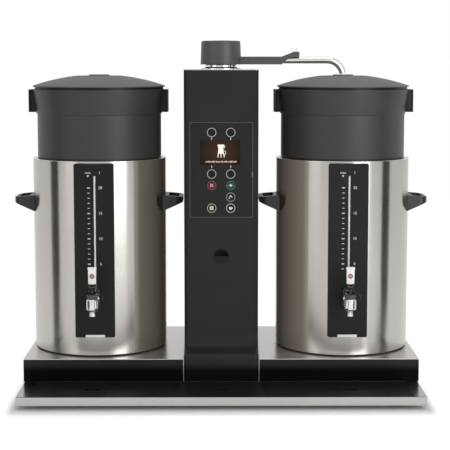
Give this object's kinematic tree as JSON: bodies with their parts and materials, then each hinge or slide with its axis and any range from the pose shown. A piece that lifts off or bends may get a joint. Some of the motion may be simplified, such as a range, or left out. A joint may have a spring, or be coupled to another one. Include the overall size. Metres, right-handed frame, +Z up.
{
  "type": "commercial coffee brewer",
  "caption": "Free-standing twin coffee brewer: central control tower with a swinging outlet arm, between two lift-off insulated containers with taps, filter baskets and lids.",
  "frame": {"origin": "on the floor under the middle of the base's bounding box", "axes": "+X to the right along the base, +Y from front to back, +Z up; the controls and taps face -Y"},
  "size_m": [1.164, 0.608, 0.9633],
  "materials": {
    "brushed_steel": "brushed",
    "pan_steel": "mill",
    "polished_steel": "polished",
    "black_casing": "satin powder coat",
    "black_moulded": "fine grain",
    "grey_moulded": "satin",
    "warm_grey_moulded": "satin",
    "bezel_black": "satin foil",
    "display_brown": "glossy",
    "key_black": "satin",
    "lever_white": "satin",
    "clear_tube": "clear",
    "rubber": "matte",
    "board": "matte",
    "copper": "bright",
    "brass": "machined",
    "mineral_wool": "matte"
  },
  "bodies": {
    "root": {"base_pan": "pan_steel", "deck_left": "brushed_steel", "deck_right": "brushed_steel", "riser_left": "black_casing", "riser_right": "black_casing", "drip_tray": "brushed_steel", "feet": "rubber", "tower_casing": "black_casing", "back_cover": "black_casing", "back_screws": "polished_steel", "top_plate": "brushed_steel", "panel_bezel": "bezel_black", "display_window": "display_brown", "control_board": "board", "service_cup": "black_moulded", "boiler": "pan_steel", "heating_element": "polished_steel", "inlet_valve": "black_moulded", "supply_pipe": "copper", "riser_pipe": "copper", "water_inlet": "brass", "cable_gland": "black_moulded", "relay_board": "board", "swivel_collar": "polished_steel"},
    "outlet_arm": {"swivel_cap": "warm_grey_moulded", "swivel_arm": "warm_grey_moulded", "outlet_pipe": "polished_steel", "grip_knob": "polished_steel"},
    "container_left": {"shell_left": "brushed_steel", "vessel_left": "pan_steel", "insulation_left": "mineral_wool", "handles_left": "black_moulded", "tap_panel_left": "black_moulded", "sight_glass_left": "clear_tube", "tap_body_left": "polished_steel"},
    "container_right": {"shell_right": "brushed_steel", "vessel_right": "pan_steel", "insulation_right": "mineral_wool", "handles_right": "black_moulded", "tap_panel_right": "black_moulded", "sight_glass_right": "clear_tube", "tap_body_right": "polished_steel", "filter_basket_right": "grey_moulded"},
    "tap_lever_left": {"tap_lever_left": "lever_white"},
    "tap_lever_right": {"tap_lever_right": "lever_white"},
    "basket_left": {"filter_basket_left": "grey_moulded"},
    "lid_left": {"lid_left": "grey_moulded"},
    "lid_right": {"lid_right": "grey_moulded"},
    "drip_grid_left": {"drip_grid_left": "black_moulded"},
    "drip_grid_centre": {"drip_grid_centre": "black_moulded"},
    "drip_grid_right": {"drip_grid_right": "black_moulded"},
    "key_select_top_left": {"key_select_top_left": "key_black"},
    "key_select_top_right": {"key_select_top_right": "key_black"},
    "key_select_low_left": {"key_select_low_left": "key_black"},
    "key_select_low_right": {"key_select_low_right": "key_black"},
    "key_stop": {"key_stop": "key_black"},
    "key_start": {"key_start": "key_black"},
    "key_hot_water": {"key_hot_water": "key_black"},
    "key_timer": {"key_timer": "key_black"},
    "key_half_batch": {"key_half_batch": "key_black"}
  },
  "joints": [
    {"name": "arm_swivel", "type": "hinge", "parent": "root", "child": "outlet_arm", "pos_m": [0, 0.078, 0.883], "axis": [0, 0, 1], "range_deg": [-180, 0]},
    {"name": "container_left_pull", "type": "slide", "parent": "root", "child": "container_left", "axis": [0, -1, 0], "range_m": [0, 0.62]},
    {"name": "tap_left_pull", "type": "hinge", "parent": "container_left", "child": "tap_lever_left", "pos_m": [-0.345, -0.184, 0.2945], "axis": [1, 0, 0], "range_deg": [0, 35], "stiffness_Nm_per_rad": 0.8, "springref_deg": -17.19},
    {"name": "container_right_pull", "type": "slide", "parent": "root", "child": "container_right", "axis": [0, -1, 0], "range_m": [0, 0.62]},
    {"name": "tap_right_pull", "type": "hinge", "parent": "container_right", "child": "tap_lever_right", "pos_m": [0.345, -0.184, 0.2945], "axis": [1, 0, 0], "range_deg": [0, 35], "stiffness_Nm_per_rad": 0.8, "springref_deg": -17.19},
    {"name": "basket_left_lift", "type": "slide", "parent": "container_left", "child": "basket_left", "axis": [0, 0, 1], "range_m": [0, 0.26]},
    {"name": "lid_left_lift", "type": "slide", "parent": "basket_left", "child": "lid_left", "axis": [0, 0, 1], "range_m": [0, 0.12]},
    {"name": "lid_right_turn", "type": "hinge", "parent": "container_right", "child": "lid_right", "pos_m": [0.345, 0.078, 0.8273], "axis": [0, 0, 1], "continuous": true},
    {"name": "drip_grid_left_lift", "type": "slide", "parent": "root", "child": "drip_grid_left", "axis": [0, 0, 1], "range_m": [0, 0.05]},
    {"name": "drip_grid_centre_lift", "type": "slide", "parent": "root", "child": "drip_grid_centre", "axis": [0, 0, 1], "range_m": [0, 0.05]},
    {"name": "drip_grid_right_lift", "type": "slide", "parent": "root", "child": "drip_grid_right", "axis": [0, 0, 1], "range_m": [0, 0.05]},
    {"name": "key_select_top_left_press", "type": "slide", "parent": "root", "child": "key_select_top_left", "axis": [0, 1, 0], "range_m": [0, 0.0012], "stiffness_N_per_m": 900, "springref_m": -0.001},
    {"name": "key_select_top_right_press", "type": "slide", "parent": "root", "child": "key_select_top_right", "axis": [0, 1, 0], "range_m": [0, 0.0012], "stiffness_N_per_m": 900, "springref_m": -0.001},
    {"name": "key_select_low_left_press", "type": "slide", "parent": "root", "child": "key_select_low_left", "axis": [0, 1, 0], "range_m": [0, 0.0012], "stiffness_N_per_m": 900, "springref_m": -0.001},
    {"name": "key_select_low_right_press", "type": "slide", "parent": "root", "child": "key_select_low_right", "axis": [0, 1, 0], "range_m": [0, 0.0012], "stiffness_N_per_m": 900, "springref_m": -0.001},
    {"name": "key_stop_press", "type": "slide", "parent": "root", "child": "key_stop", "axis": [0, 1, 0], "range_m": [0, 0.0012], "stiffness_N_per_m": 900, "springref_m": -0.001},
    {"name": "key_start_press", "type": "slide", "parent": "root", "child": "key_start", "axis": [0, 1, 0], "range_m": [0, 0.0012], "stiffness_N_per_m": 900, "springref_m": -0.001},
    {"name": "key_hot_water_press", "type": "slide", "parent": "root", "child": "key_hot_water", "axis": [0, 1, 0], "range_m": [0, 0.0012], "stiffness_N_per_m": 900, "springref_m": -0.001},
    {"name": "key_timer_press", "type": "slide", "parent": "root", "child": "key_timer", "axis": [0, 1, 0], "range_m": [0, 0.0012], "stiffness_N_per_m": 900, "springref_m": -0.001},
    {"name": "key_half_batch_press", "type": "slide", "parent": "root", "child": "key_half_batch", "axis": [0, 1, 0], "range_m": [0, 0.0012], "stiffness_N_per_m": 900, "springref_m": -0.001}
  ]
}
